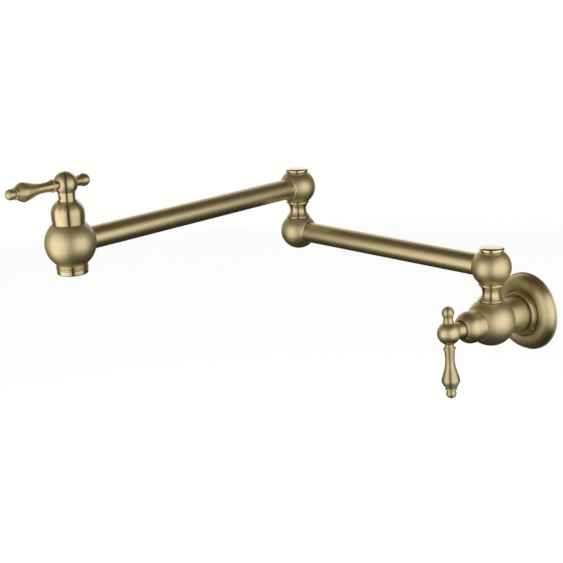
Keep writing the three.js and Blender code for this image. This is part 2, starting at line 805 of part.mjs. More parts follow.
// A cup with spokes across its mouth, which straighten the jet.
function aeratorInsert() {
  const bottom = aeratorBottom + aeratorLip + fit;
  const innerR = aeratorInsertR - aeratorInsertWall;
  const shell = turned(
    ringOutline(innerR, aeratorInsertR, bottom, bottom + aeratorInsertHeight),
    hiddenSides,
  );
  const middle = turned(rodOutline(aeratorHubR, bottom, bottom + 2 * aeratorRibHeight), smallSides);
  const bars = Array.from({ length: aeratorRibs }, (_, i) => {
    const bar = new THREE.BoxGeometry(2 * innerR + aeratorInsertWall, aeratorRibWidth, aeratorRibHeight);
    return solid(bar.rotateZ((i * Math.PI) / aeratorRibs).translate(0, 0, bottom + aeratorRibHeight));
  });
  return join(solid(shell), solid(middle), ...bars);
}

function aeratorWasher() {
  const bottom = aeratorTop + fit;
  const outline = ringOutline(waterwayR + fit, aeratorThreadR, bottom, bottom + aeratorWasherThickness);
  return solid(turned(outline, hiddenSides));
}

// Wall flange, heights counting out from the wall: a bell with a rounded collar round the shank.
function flange() {
  const collarRound = (flangeCollarR - flangeBoreR) / 2;
  const collarMiddle = (flangeCollarR + flangeBoreR) / 2;
  const rimInset = flangeR - flangeRimStep;
  const bellRise = flangeBellDepth - flangeRim;
  const grooveBack = flangeGrooveDepth - flangeWall;
  const outline = [
    [flangeR - flangeWall - flangeRimStep, 0],
    [flangeR, 0],
    [flangeR, flangeRim],
    ...arc(flangeCrestR, flangeRim, rimInset - flangeCrestR, bellRise, 0, 90, 5),
    ...arc(
      flangeCrestR,
      flangeGrooveDepth,
      flangeCrestR - flangeGrooveR,
      flangeBellDepth - flangeGrooveDepth,
      90,
      180,
      2,
    ).slice(1),
    [flangeCollarR, flangeGrooveDepth],
    ...arc(collarMiddle, flangeCollarDepth - collarRound, collarRound, collarRound, 0, 180, 4),
    [flangeBoreR, flangeCollarBack],
    [flangeBoreR + flangeWall, flangeCollarBack],
    [flangeBoreR + flangeWall, grooveBack],
    [flangeGrooveR, grooveBack],
    ...arc(
      flangeCrestR,
      flangeRim,
      rimInset - flangeWall - flangeCrestR,
      bellRise - flangeWall,
      90,
      0,
      2,
    ),
  ];
  const body = solid(turned(outline, flangeSides));
  const hole = turnedAlongX(rodOutline(flangeScrewR + fit, shankR, flangeGrooveR), smallSides);
  return cut(body, solid(hole.rotateZ(flangeScrewAngle * deg).translate(0, 0, flangeScrewDepth)));
}

function flangeScrew() {
  return socketScrew(flangeScrewR, flangeBoreR, flangeCollarR - hubScrewSink);
}

// Assembly

// Everything in this group is modelled with +Z out from the wall and +Y up.
const flangeScrewMesh = piece('flange_screw', flangeScrew(), steel);
flangeScrewMesh.rotation.z = flangeScrewAngle * deg;
flangeScrewMesh.position.z = flangeScrewDepth;
const wallEnd = groupOf(piece('flange', flange(), brass), flangeScrewMesh);
wallEnd.rotation.x = Math.PI / 2;

const wallValve = groupOf(
  piece('wall_valve_body', wallValveBody(), brass),
  valvePieces('wall', leverLean - 90),
);
wallValve.rotation.x = Math.PI / 2;
wallValve.position.y = -wallToSwivel;

const spout = groupOf(
  piece('spout_body', spoutBody(), brass).rotateZ(Math.PI),
  valvePieces('spout', 0),
  piece('aerator_housing', aeratorHousing(), brass),
  piece('aerator_insert', aeratorInsert(), slipPlastic),
  piece('aerator_washer', aeratorWasher(), rubber),
);
spout.position.x = outerReach;

const tube = (from, to) => solid(turnedAlongX(ringOutline(tubeR - tubeWall, tubeR, from, to), turnedSides));

const outerArm = groupOf(
  ...swivelPieces('elbow'),
  piece('elbow_upper_ball', swivelBall(), brass),
  piece('outer_tube', tube(tubeEnd(swivelBallR), outerReach - tubeEnd(valveBallR)), brass),
  spout,
);
outerArm.position.set(innerReach, 0, swivelRise(swivelFlat));
outerArm.rotation.z = elbowBend * deg;

const innerArm = groupOf(
  ...swivelPieces('shoulder'),
  piece('shoulder_ball', swivelBall(), brass),
  piece('inner_tube', tube(tubeEnd(swivelBallR), innerReach - tubeEnd(swivelBallR)), brass),
  outerArm,
);
const lowerBall = piece('elbow_lower_ball', elbowLowerBall(), brass);
lowerBall.rotation.z = Math.PI;
lowerBall.position.x = innerReach;
innerArm.add(lowerBall);
innerArm.position.set(0, -wallToSwivel, swivelRise(valveCollarFlat));
innerArm.rotation.z = (180 + armSwing) * deg;

const potFiller = groupOf(wallEnd, wallValve, innerArm);

export default potFiller;
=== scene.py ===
from math import acos, asin, atan, cos, degrees, pi, radians, sin, sqrt, tan

import bpy
from mathutils import Matrix, Vector


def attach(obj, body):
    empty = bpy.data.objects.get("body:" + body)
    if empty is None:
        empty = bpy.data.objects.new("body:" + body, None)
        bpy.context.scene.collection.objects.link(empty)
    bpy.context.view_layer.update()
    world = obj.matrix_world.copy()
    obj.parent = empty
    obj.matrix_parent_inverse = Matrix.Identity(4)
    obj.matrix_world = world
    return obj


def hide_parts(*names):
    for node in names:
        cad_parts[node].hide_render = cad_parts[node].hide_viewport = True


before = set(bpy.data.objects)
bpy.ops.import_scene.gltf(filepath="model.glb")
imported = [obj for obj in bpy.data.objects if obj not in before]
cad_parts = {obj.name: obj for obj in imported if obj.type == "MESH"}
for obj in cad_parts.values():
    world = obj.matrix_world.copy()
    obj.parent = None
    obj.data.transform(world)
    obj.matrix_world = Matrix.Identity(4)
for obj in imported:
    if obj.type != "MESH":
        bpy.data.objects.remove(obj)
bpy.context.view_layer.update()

mm = 0.001
tiny = 1e-6
fit = 0.3  # clearance round and under whatever seats in something else
overcut = 1  # how far a cutter reaches past the skin that it opens
brokenEdge = 0.3  # rounding of an edge that a file has broken
fineEdge = 0.2  # the same on a thin wall or a small part
crispEdge = 0.15  # rounding of an edge as the tool leaves it


# placing and outlines

def turn(axis, angle):
    return Matrix.Rotation(radians(angle), 4, axis)


def shift(x, y, z):
    return Matrix.Translation(Vector((x, y, z)) * mm)


def heightOnBall(ballR, r):
    return sqrt(ballR ** 2 - r ** 2)


# points on an ellipse round (r, z), angles in degrees from the outward direction
def arc(r, z, halfWidth, halfHeight, start, end, steps):
    angles = [radians(start + (end - start) * i / steps) for i in range(steps + 1)]
    return [(r + halfWidth * cos(a), z + halfHeight * sin(a)) for a in angles]


def ballArc(ballR, bottom, top, steps=44):
    points = arc(0, 0, ballR, ballR, degrees(asin(bottom / ballR)), degrees(asin(top / ballR)), steps)
    return [(max(r, 0.0), z) for r, z in points]


# smooth curve through a few points, as a draughtsman's spline would run
def spline(points, steps):
    ends = [points[0]] + points + [points[-1]]
    curve = []
    for i in range(len(points) - 1):
        before, start, end, after = (Vector(point) for point in ends[i:i + 4])
        chord = end - start
        leaving = (end - before) / 2
        arriving = (after - start) / 2
        for t in (k / steps for k in range(steps)):
            squared = (3 * chord - 2 * leaving - arriving) * t ** 2
            cubed = (leaving + arriving - 2 * chord) * t ** 3
            curve.append(tuple(start + leaving * t + squared + cubed))
    return curve + [tuple(points[-1])]


# how a rounded corner is drawn: the most that it takes of a side, a short straight at each end
# that keeps the flats flat, and how much of the rubbed brightening on an outside corner, and of the painted
# shade in an inside corner, its two ends get against its middle
corner = {"mostOfSide": 0.45, "straight": 0.4, "straightShare": 0.4, "steps": 4, "wearAndShadeAtEnds": 0.6}


# A corner with a third number is rounded over that many millimetres. Each point comes back with
# a value for the brass: 1 on a rounded edge that hands and cloths rub, -1 down in an inside corner,
# which the brass paints browner, partly as brown left in hollows and partly as painted shade, 0
# elsewhere. The second value tells whether the outline runs clockwise.
def softenCorners(outline, closed):
    nextOnes = outline[1:] + outline[:1]
    area = sum(a[0] * b[1] - b[0] * a[1] for a, b in zip(outline, nextOnes))
    soft = []
    for i, point in enumerate(outline):
        here = Vector(point[:2])
        if len(point) < 3 or (not closed and i in (0, len(outline) - 1)):
            soft.append((here.x, here.y, 0.0))
            continue
        sides = [Vector(outline[i - 1][:2]) - here, Vector(nextOnes[i][:2]) - here]
        outward = 1 if sides[0].cross(sides[1]) * area < 0 else -1
        cutBack = min(point[2], *[side.length * corner["mostOfSide"] for side in sides])
        straights = [min(corner["straight"], (side.length - cutBack) * corner["straightShare"])
                     for side in sides]
        start, end = (here + side.normalized() * cutBack for side in sides)
        before, after = (here + side.normalized() * (cutBack + more) for side, more in zip(sides, straights))
        soft.append((*before, 0.0))
        for k in range(corner["steps"] + 1):
            t = k / corner["steps"]
            p = start * (1 - t) ** 2 + here * (2 * t * (1 - t)) + end * t * t
            wearAndShadeLevel = corner["wearAndShadeAtEnds"] + (1 - corner["wearAndShadeAtEnds"]) * sin(pi * t)
            # an inside corner comes out below zero: painted shade
            soft.append((*p, wearAndShadeLevel * outward))
        soft.append((*after, 0.0))
    return soft, area < 0


# meshes

def turned(name, outline, segments=112):
    closed = outline[0][0] > 0 or outline[-1][0] > 0
    points, clockwise = softenCorners(outline, closed)
    corners, faces, wear_and_shade, rows = [], [], [], []
    for r, z, wearAndShadeLevel in points:
        count = segments if r > tiny else 1
        rows.append(range(len(corners), len(corners) + count))
        for k in range(count):
            angle = 2 * pi * k / segments
            corners.append((r * mm * cos(angle), r * mm * sin(angle), z * mm))
            wear_and_shade.append(wearAndShadeLevel)
    for low, high in zip(rows, rows[1:] + (rows[:1] if closed else [])):
        for k in range(segments):
            n = (k + 1) % segments
            loop = [low[k % len(low)], low[n % len(low)], high[n % len(high)], high[k % len(high)]]
            face = [c for i, c in enumerate(loop) if c not in loop[:i]]
            if len(face) > 2:
                faces.append(face[::-1] if clockwise else face)
    mesh = bpy.data.meshes.new(name)
    mesh.from_pydata(corners, [], faces)
    # the attribute holds rubbed edges above zero and painted shade in inside corners below zero
    mesh.attributes.new("wear_and_shade", "FLOAT", "POINT").data.foreach_set("value", wear_and_shade)
    piece = bpy.data.objects.new(name, mesh)
    bpy.context.scene.collection.objects.link(piece)
    return piece


def rod(name, r, bottom, top, segments=48):
    return turned(name, [(0, bottom), (r, bottom), (r, top), (0, top)], segments)


# machines the cutters out of the piece, or welds them on, and keeps the result as its mesh
def machine(piece, *cutters, operation="DIFFERENCE"):
    for cutter in cutters:
        step = piece.modifiers.new("machining", "BOOLEAN")
        step.operation, step.solver, step.object = operation, "EXACT", cutter
    bpy.context.view_layer.update()
    before = piece.data
    made = bpy.data.meshes.new_from_object(piece.evaluated_get(bpy.context.evaluated_depsgraph_get()))
    piece.modifiers.clear()
    piece.data = made
    made.name = piece.name
    for mesh in [before] + [cutter.data for cutter in cutters]:
        bpy.data.meshes.remove(mesh)
    return piece


def placed(piece, matrix):
    piece.matrix_world = matrix
    return piece


sharpFrom = 32  # degrees between two faces


# Finished piece: soft shading broken at real edges, its material, its place, its body and its node.
# A second finish goes on the faces whose middle passes its test, on the piece's own axes.
def fitOut(piece, material, matrix, body, node, second=None, onSecond=None):
    piece.data.shade_smooth()
    piece.data.set_sharp_from_angle(angle=radians(sharpFrom))
    piece.data.materials.clear()
    piece.data.materials.append(material)
    if second:
        piece.data.materials.append(second)
        for face in piece.data.polygons:
            face.material_index = int(onSecond(face.center / mm))
    place = matrix @ piece.matrix_world
    if place[2][2] > 1 - tiny:  # upright: the turn goes into the mesh, so its box stays as small as it is
        piece.data.transform(place.to_3x3().to_4x4())
        place = Matrix.Translation(place.translation)
    piece.matrix_world = place
    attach(piece, body)
    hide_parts(node)


# materials

# the linear colour that a shader takes, from the one on a colour picker
def hexColour(text):
    shares = [int(text[i:i + 2], 16) / 255 for i in (1, 3, 5)]
    return (*[c / 12.92 if c <= 0.04045 else ((c + 0.055) / 1.055) ** 2.4 for c in shares], 1.0)


# a new node; each of its inputs takes a value or another node's output
def addNode(tree, kind, inputs=None, **settings):
    node = tree.nodes.new("ShaderNode" + kind)
    for name, value in settings.items():
        setattr(node, name, value)
    for socket, value in (inputs or {}).items():
        if isinstance(value, bpy.types.NodeSocket):
            tree.links.new(value, node.inputs[socket])
        else:
            node.inputs[socket].default_value = value
    return node


def calculate(tree, operation, *values, **settings):
    return addNode(tree, "Math", dict(enumerate(values)), operation=operation, **settings).outputs[0]


# a Mix node has its two colours at inputs 6 and 7, and the mixed colour at output 2
def mixColours(tree, share, first, second):
    return addNode(tree, "Mix", {0: share, 6: first, 7: second}, data_type="RGBA").outputs[2]


def newMaterial(name):
    material = bpy.data.materials.new(name)
    material.use_nodes = True
    material.node_tree.nodes.clear()
    return material, material.node_tree


bumpHeight = 0.03  # millimetres that the grain and the scratches are deep
radiusWeight = 0.7  # how fast a face's rings follow the radius, against the height on a straight wall


# Brass that was brushed, then turned brown and rubbed back: the brown stays in the bottoms of the
# scratches, and edges are rubbed bright. Inside corners and recesses are painted browner, partly the
# brown that stays in hollows and partly painted shade. Pitches and lengths are millimetres.
def brushedBrass(name, look):
    material, tree = newMaterial(name)
    place = addNode(tree, "TexCoord").outputs["Object"]
    across = 1 / (look["scratchPitch"] * mm)
    along = 1 / (look["scratchLength"] * mm)
    if look["brushed"] == "round":
        # the lathe's abrasive runs round the axis: one height and one radius is one scratch
        apart = addNode(tree, "SeparateXYZ", {"Vector": place})
        flat = addNode(tree, "VectorMath", {0: place, 1: (1, 1, 0)}, operation="MULTIPLY")
        radius = addNode(tree, "VectorMath", {0: flat.outputs[0]}, operation="LENGTH").outputs["Value"]
        ring = calculate(tree, "MULTIPLY_ADD", radius, radiusWeight, apart.outputs["Z"])
        ringPlace = addNode(tree, "CombineXYZ", {
            "X": apart.outputs["X"], "Y": apart.outputs["Y"], "Z": ring})
        scale = (along, along, across)
        source = ringPlace.outputs[0]
    else:
        scale = (across, across, along)
        source = place
    stretched = addNode(tree, "Mapping", {"Vector": source, "Scale": scale})
    scratches = addNode(tree, "TexNoise", {
        "Vector": stretched.outputs[0], "Scale": 1.0, "Detail": 2.0, "Roughness": 0.6}).outputs[0]
    patches = addNode(tree, "TexNoise", {
        "Vector": place, "Scale": 1 / (look["patchSize"] * mm), "Detail": 3.0, "Roughness": 0.55}).outputs[0]
    wear_and_shade = addNode(tree, "Attribute", attribute_name="wear_and_shade").outputs["Fac"]

    scratched = calculate(tree, "MULTIPLY_ADD", scratches, look["scratchContrast"],
                          look["rubbed"] - look["scratchContrast"] / 2)
    patched = calculate(tree, "MULTIPLY_ADD", patches, look["patchContrast"], scratched)
    centred = calculate(tree, "SUBTRACT", patched, look["patchContrast"] / 2)
    # brighter on rubbed edges, and browner in inside corners as painted shade
    bright = calculate(tree, "MULTIPLY_ADD", wear_and_shade, look["edgeWearAndCornerShade"], centred, use_clamp=True)
    colour = mixColours(tree, bright, hexColour(look["brownAndCornerShade"]), hexColour(look["brass"]))
    roughness = addNode(tree, "MapRange", {
        "Value": bright, "From Min": 0.0, "From Max": 1.0,
        "To Min": look["roughness"] + look["roughnessSpread"],
        "To Max": look["roughness"] - look["roughnessSpread"]}).outputs[0]
    bump = addNode(tree, "Bump", {
        "Height": scratches, "Strength": look["scratchDepth"], "Distance": bumpHeight * mm}).outputs[0]
    shader = addNode(tree, "BsdfPrincipled", {
        "Base Color": colour, "Metallic": 1.0, "Roughness": roughness, "Normal": bump,
        "Anisotropic": look["grain"]})
    if look["grain"] > 0:
        tangent = addNode(tree, "Tangent", direction_type="RADIAL", axis="Z").outputs[0]
        tree.links.new(tangent, shader.inputs["Tangent"])
        # light spreads across the scratches, so the soft direction lies at right angles to them
        shader.inputs["Anisotropic Rotation"].default_value = 0.25 if look["brushed"] == "round" else 0.0
    addNode(tree, "OutputMaterial", {"Surface": shader.outputs[0]})
    return material


# Moulded, ground and headed small parts share one plain recipe: a fine grain, patches and a shader.
def fineGrained(name, look):
    material, tree = newMaterial(name)
    place = addNode(tree, "TexCoord").outputs["Object"]
    grain = addNode(tree, "TexNoise", {
        "Vector": place, "Scale": 1 / (look["grainSize"] * mm), "Detail": 2.0}).outputs[0]
    patches = addNode(tree, "TexNoise", {
        "Vector": place, "Scale": 1 / (look["patchSize"] * mm), "Detail": 2.0}).outputs[0]
    colour = mixColours(tree, patches, hexColour(look["dark"]), hexColour(look["light"]))
    roughness = addNode(tree, "MapRange", {
        "Value": grain, "From Min": 0.3, "From Max": 0.7,
        "To Min": look["roughness"] - look["roughnessSpread"],
        "To Max": look["roughness"] + look["roughnessSpread"]}).outputs[0]
    bump = addNode(tree, "Bump", {
        "Height": grain, "Strength": look["grainDepth"], "Distance": bumpHeight * mm}).outputs[0]
    shader = addNode(tree, "BsdfPrincipled", {
        "Base Color": colour, "Metallic": look["metallic"], "Roughness": roughness, "Normal": bump,
        "IOR": look["ior"]})
    addNode(tree, "OutputMaterial", {"Surface": shader.outputs[0]})
    return material


# Scratches are really about 0.1 mm apart. They are drawn 0.7 mm apart, which is as fine as the
# picture can hold, and faint. Sizes are millimetres, and what the rest changes is a share.
brassLook = {
    # the edge share brightens rubbed edges and darkens inside corners, the darkening being painted shade
    "brass": "#dacda4", "brownAndCornerShade": "#94804f", "rubbed": 0.86, "edgeWearAndCornerShade": 0.14,
    "brushed": "round", "scratchPitch": 0.7, "scratchLength": 16, "scratchContrast": 0.1,
    "scratchDepth": 0.1, "patchSize": 18, "patchContrast": 0.14,
    "roughness": 0.32, "roughnessSpread": 0.025, "grain": 0.95,
}
# Turned brass, brushed round its axis: bright bands down the length, with a crisp dark line between.
# The spout's bonnet and hub, the collars and the outlet have it.
turnedBrass = brushedBrass("turned_brass_brushed_round", brassLook)
# The same, brushed by hand on small turned parts: softer, and the dark line only shows faintly
handleBrass = brushedBrass("turned_brass_hand_brushed", {
    **brassLook, "rubbed": 0.84, "roughness": 0.44, "grain": 0.84})
# Turned brass at the wall end, gone over with a finer pad: a broad soft glow and no dark line
softBrass = brushedBrass("turned_brass_rubbed_soft", {**brassLook, "roughness": 0.45, "grain": 0.4})
# Turned flats and lips on the cast balls, faced on the lathe and left bright
facedBrass = brushedBrass("faced_brass_bright", {**brassLook, "roughness": 0.32, "grain": 0.0})
# Spun brass flange, brushed on the lathe: a fan of light across it
spunBrass = brushedBrass("spun_brass_brushed_round", {
    **brassLook, "roughness": 0.45, "grain": 0.75, "scratchLength": 40, "patchSize": 30})
# Cast brass balls, bead blasted and lightly brushed: a soft even glow with no sharp highlight
satinBrass = brushedBrass("cast_brass_satin", {
    **brassLook, "roughness": 0.48, "grain": 0.0, "scratchContrast": 0.16, "patchContrast": 0.2})
# Drawn brass tube, brushed lengthwise: the light smears round the tube and stays crisp along it
drawnBrass = brushedBrass("drawn_brass_brushed_lengthwise", {
    **brassLook, "brushed": "along", "scratchLength": 30, "roughness": 0.38, "grain": 0.4})
# Turned brass caps, buffed: nearly a mirror, with a few round polishing marks
buffedBrass = brushedBrass("turned_brass_buffed", {
    **brassLook, "brass": "#f0e9d6", "brownAndCornerShade": "#b8a578", "rubbed": 0.92, "scratchContrast": 0.06,
    "scratchDepth": 0.04, "roughness": 0.12, "roughnessSpread": 0.02, "grain": 0.2})
# Free-cutting brass as it leaves the lathe, never finished: yellower, with coarse tool marks
machinedBrass = brushedBrass("machined_brass_bare", {
    **brassLook, "brass": "#c9a861", "brownAndCornerShade": "#8a6a34", "scratchPitch": 0.9, "scratchContrast": 0.3,
    "scratchDepth": 0.3, "roughness": 0.4, "grain": 0.4})
plainLook = {"roughnessSpread": 0.05, "metallic": 0.0}
# Nitrile rubber, moulded: black, with a dull even sheen
nitrileRubber = fineGrained("nitrile_rubber_moulded", {
    **plainLook,
    "dark": "#151514", "light": "#232322", "grainSize": 0.5, "patchSize": 6, "roughness": 0.65,
    "grainDepth": 0.15, "ior": 1.52})
# Alumina ceramic, ground and lapped: off-white and smooth, with a glassy face
lappedCeramic = fineGrained("alumina_ceramic_lapped", {
    **plainLook,
    "dark": "#dcd8cb", "light": "#eeebe2", "grainSize": 0.6, "patchSize": 5, "roughness": 0.18,
    "grainDepth": 0.02, "ior": 1.76})
# Acetal, injection moulded: milky and faintly waxy
mouldedAcetal = fineGrained("acetal_moulded", {
    **plainLook,
    "dark": "#d6d2c4", "light": "#e6e2d6", "grainSize": 0.7, "patchSize": 7, "roughness": 0.42,
    "grainDepth": 0.08, "ior": 1.48})
# Stainless steel set screws, cold headed: grey, with a fine dull grain
headedSteel = fineGrained("stainless_steel_cold_headed", {
    **plainLook,
    "dark": "#a5a4a0", "light": "#c2c1bd", "grainSize": 0.4, "patchSize": 3, "roughness": 0.34,
    "grainDepth": 0.15, "metallic": 1.0, "ior": 1.5})
print("materials made")


# where things stand, in millimetres and degrees, as on the CAD frame

reach = {"wallToSwivel": 50.5, "inner": 250, "outer": 300, "armSwing": 9.85, "elbowBend": 90,
         "shoulderRise": 53.501, "elbowRise": 47.981, "leverLean": 3.5, "hubHeight": 54.9, "valveBallR": 23.5}
wallEnd = turn("X", 90)
wallValve = shift(0, -reach["wallToSwivel"], 0) @ turn("X", 90)
wallHandle = wallValve @ turn("Z", reach["leverLean"] - 90)
shoulder = shift(0, -reach["wallToSwivel"], reach["shoulderRise"]) @ turn("Z", 180 + reach["armSwing"])
elbowLower = shoulder @ shift(reach["inner"], 0, 0) @ turn("Z", 180)
elbow = shoulder @ shift(reach["inner"], 0, reach["elbowRise"]) @ turn("Z", reach["elbowBend"])
spout = elbow @ shift(reach["outer"], 0, 0)
layAlongX = turn("Y", 90)


# camera, at the photograph's angle: lengths in millimetres, angles in degrees

view = {"place": (828.06, -888.38, 379.08), "lens": 81.567, "sensor": 36, "nearest": 10,
        "down": 15.963, "roll": -2.059, "heading": 54.38}
heading, down, roll = (radians(view[key]) for key in ("heading", "down", "roll"))
forward = Vector((-sin(heading) * cos(down), cos(heading) * cos(down), -sin(down)))
aside = Vector((cos(heading), sin(heading), 0))
upright = aside.cross(forward)
cameraX = aside * cos(roll) + upright * sin(roll)
cameraY = upright * cos(roll) - aside * sin(roll)
cameraData = bpy.data.cameras.new("camera")
cameraData.lens = view["lens"]
cameraData.sensor_width = view["sensor"]
cameraData.clip_start = view["nearest"] * mm
camera = bpy.data.objects.new("camera", cameraData)
camera.matrix_world = Matrix((
    (cameraX.x, cameraY.x, -forward.x, view["place"][0] * mm),
    (cameraX.y, cameraY.y, -forward.y, view["place"][1] * mm),
    (cameraX.z, cameraY.z, -forward.z, view["place"][2] * mm),
    (0, 0, 0, 1)))
bpy.context.scene.collection.objects.link(camera)
bpy.context.scene.camera = camera


# studio: two tall softboxes that the camera looks out between, dark and pale glowing sheets round them
# that paint shade and light into the metal's reflections, and a pale floor

studio = {
    "softboxLevel": 1.42,  # at a box's brightest, 1 being the white of the backdrop
    "softboxHeight": 1500, "softboxMiddle": 115, "softboxColour": (1.0, 0.985, 0.955),
    "gapAhead": 234,  # how far ahead of the camera the boxes leave their gap
    # each box's two ends, how bright it is there, the share over which it fills up, and the shares
    # that fade at its bottom and top
    "left": {"start": -165, "startLevel": 0.6, "fill": 0.4, "aside": -1000, "ahead": 1200,
             "endLevel": 0.6, "endShare": 0.15, "fadeLow": 0.26, "fadeHigh": 0.36},
    "right": {"start": 76, "startLevel": 0.3, "fill": 0.2, "aside": 1150, "ahead": 1350,
              "endLevel": 0.4, "endShare": 0.4, "fadeLow": 0.42, "fadeHigh": 0.36},
    "ambient": 0.3,
    "floorDepth": 620, "floorHalf": 9000, "floorPaint": "#dcdcda", "floorGlow": 0.75,
    # the glowing sheets hang in a ring whose middle is that far ahead of the camera
    "sheetRingMiddle": 1200, "sheetRingRadius": 3000, "sheetBottom": -600, "sheetTop": 2300, "sheetSteps": 40,
    # the next two give the size of the painted fold creases and how much they darken and lighten the glowing
    # sheets: painted light and shade
    "paintedFoldScale": 1.4, "paintedFoldShades": (0.8, 1.2),
    "lowPaleSheet": {"start": -92, "end": -45, "innerR": 500, "outerR": 2900, "height": -598},
}
ahead = Vector((-sin(heading), cos(heading), 0))


def fromCamera(sideways, onwards, height):
    ground = Vector((view["place"][0], view["place"][1], 0)) + aside * sideways + ahead * onwards
    return (ground + Vector((0, 0, height))) * mm


# A softbox is brightest in its middle. Its glow is drawn over its own width and height, both 0 to 1.
def softbox(name, side, box):
    inner = fromCamera(box["start"], studio["gapAhead"], 0)
    outer = fromCamera(box["aside"], box["ahead"], 0)
    across = (outer - inner).normalized() * side
    data = bpy.data.lights.new(name, "AREA")
    data.shape, data.size, data.size_y = "RECTANGLE", (outer - inner).length, studio["softboxHeight"] * mm
    data.energy = studio["softboxLevel"] * pi * data.size * data.size_y
    data.color = studio["softboxColour"]
    data.use_nodes = True
    tree = data.node_tree
    tree.nodes.clear()
    where = addNode(tree, "NewGeometry").outputs["Parametric"]
    apart = addNode(tree, "SeparateXYZ", {"Vector": where})
    # the lamp's X runs outwards from the gap on the right, and towards the gap on the left
    innerShare, outerShare = (0, 1) if side > 0 else (1, 0)
    steps = [
        (apart.outputs["X"], innerShare, innerShare + side * box["fill"], box["startLevel"]),
        (apart.outputs["X"], outerShare, outerShare - side * box["endShare"], box["endLevel"]),
        (apart.outputs["Y"], 0, box["fadeLow"], 0.0),
        (apart.outputs["Y"], 1, 1 - box["fadeHigh"], 0.0)]
    level = 1.0
    for share, fromEdge, toFull, edgeLevel in steps:
        ramp = addNode(tree, "MapRange", {
            "Value": share, "From Min": fromEdge, "From Max": toFull, "To Min": edgeLevel, "To Max": 1.0},
            interpolation_type="SMOOTHSTEP").outputs[0]
        level = calculate(tree, "MULTIPLY", ramp, level)
    glow = addNode(tree, "Emission", {"Color": (1, 1, 1, 1), "Strength": level})
    addNode(tree, "OutputLight", {"Surface": glow.outputs[0]})
    lamp = bpy.data.objects.new(name, data)
    back = across.cross(Vector((0, 0, 1)))
    middle = (inner + outer) / 2 + Vector((0, 0, studio["softboxMiddle"] * mm))
    lamp.matrix_world = Matrix((
        (across.x, 0, back.x, middle.x), (across.y, 0, back.y, middle.y), (across.z, 1, back.z, middle.z),
        (0, 0, 0, 1)))
    lamp.visible_camera = False
    bpy.context.scene.collection.objects.link(lamp)


softbox("softbox_left", -1, studio["left"])
softbox("softbox_right", 1, studio["right"])

# white behind the object for the camera and in the metal, and only a dim fill on surfaces
world = bpy.data.worlds.new("studio")
world.use_nodes = True
bpy.context.scene.world = world
world.node_tree.nodes.clear()
world.cycles.sampling_method = "NONE"


def seenDirectly(tree):
    path = addNode(tree, "LightPath")
    either = calculate(tree, "MAXIMUM", path.outputs["Is Camera Ray"], path.outputs["Is Glossy Ray"])
    return calculate(tree, "MAXIMUM", either, path.outputs["Is Transmission Ray"])


seen = seenDirectly(world.node_tree)
strength = addNode(world.node_tree, "MapRange", {"Value": seen, "To Min": studio["ambient"], "To Max": 1.0})
background = addNode(world.node_tree, "Background", {"Color": (1, 1, 1, 1), "Strength": strength.outputs[0]})
addNode(world.node_tree, "OutputWorld", {"Surface": background.outputs[0]})


def sheetOf(name, corners, faces, material):
    mesh = bpy.data.meshes.new(name)
    mesh.from_pydata(corners, [], faces)
    mesh.materials.append(material)
    sheet = bpy.data.objects.new(name, mesh)
    bpy.context.scene.collection.objects.link(sheet)
    return sheet


# Painted floor, matt and pale. It glows for the camera so that it is white, and a shadow darkens it.
floorMaterial, tree = newMaterial("floor_matt_paint")
paint = addNode(tree, "BsdfPrincipled", {"Base Color": hexColour(studio["floorPaint"]), "Roughness": 0.9})
floorSeen = calculate(tree, "MULTIPLY", seenDirectly(tree), studio["floorGlow"])
glow = addNode(tree, "Emission", {"Color": (1, 1, 1, 1), "Strength": floorSeen})
both = addNode(tree, "AddShader", {0: paint.outputs[0], 1: glow.outputs[0]})
addNode(tree, "OutputMaterial", {"Surface": both.outputs[0]})
floorMaterial.cycles.emission_sampling = "NONE"
floorX = floorY = studio["floorHalf"] * mm
floorZ = -studio["floorDepth"] * mm
floorCorners = [(floorX * i, floorY * j, floorZ) for i, j in ((-1, -1), (1, -1), (1, 1), (-1, 1))]
sheetOf("floor", floorCorners, [(0, 1, 2, 3)], floorMaterial)


# Glowing sheets hung round the camera's side of the studio. Only the metal sees them. Each glows
# with its own colour instead of being lit: the dark ones are painted shade and the pale ones painted
# light in the metal's reflections, with painted light and shade of fold creases across them.
def glowingSheet(name, colour):
    material, tree = newMaterial(name)
    place = addNode(tree, "TexCoord").outputs["Object"]
    paintedFoldNoise = addNode(tree, "TexNoise", {
        "Vector": place, "Scale": studio["paintedFoldScale"], "Detail": 2.0}).outputs[0]
    shades = [(*[c * k for c in hexColour(colour)[:3]], 1.0) for k in studio["paintedFoldShades"]]
    glow = addNode(tree, "Emission", {"Color": mixColours(tree, paintedFoldNoise, *shades), "Strength": 1.0})
    addNode(tree, "OutputMaterial", {"Surface": glow.outputs[0]})
    material.cycles.emission_sampling = "NONE"
    return material


def hang(name, corners, faces, material):
    sheet = sheetOf(name, corners, faces, material)
    sheet.visible_camera = sheet.visible_diffuse = sheet.visible_shadow = False
    sheet.visible_transmission = sheet.visible_volume_scatter = False


# evenly spaced angles from one to another round the object, counted from the camera
def anglesRound(start, end):
    steps = studio["sheetSteps"]
    return [radians(start + (end - start) * i / steps) for i in range(steps + 1)]


def roundObject(angle, radius, height):
    return fromCamera(radius * sin(angle), studio["sheetRingMiddle"] - radius * cos(angle), height)


# a curved glowing sheet between two angles
def drape(name, start, end, material):
    corners = [roundObject(angle, studio["sheetRingRadius"], height)
               for angle in anglesRound(start, end) for height in (studio["sheetBottom"], studio["sheetTop"])]
    faces = [(2 * i, 2 * i + 2, 2 * i + 3, 2 * i + 1) for i in range(studio["sheetSteps"])]
    hang(name, corners, faces, material)


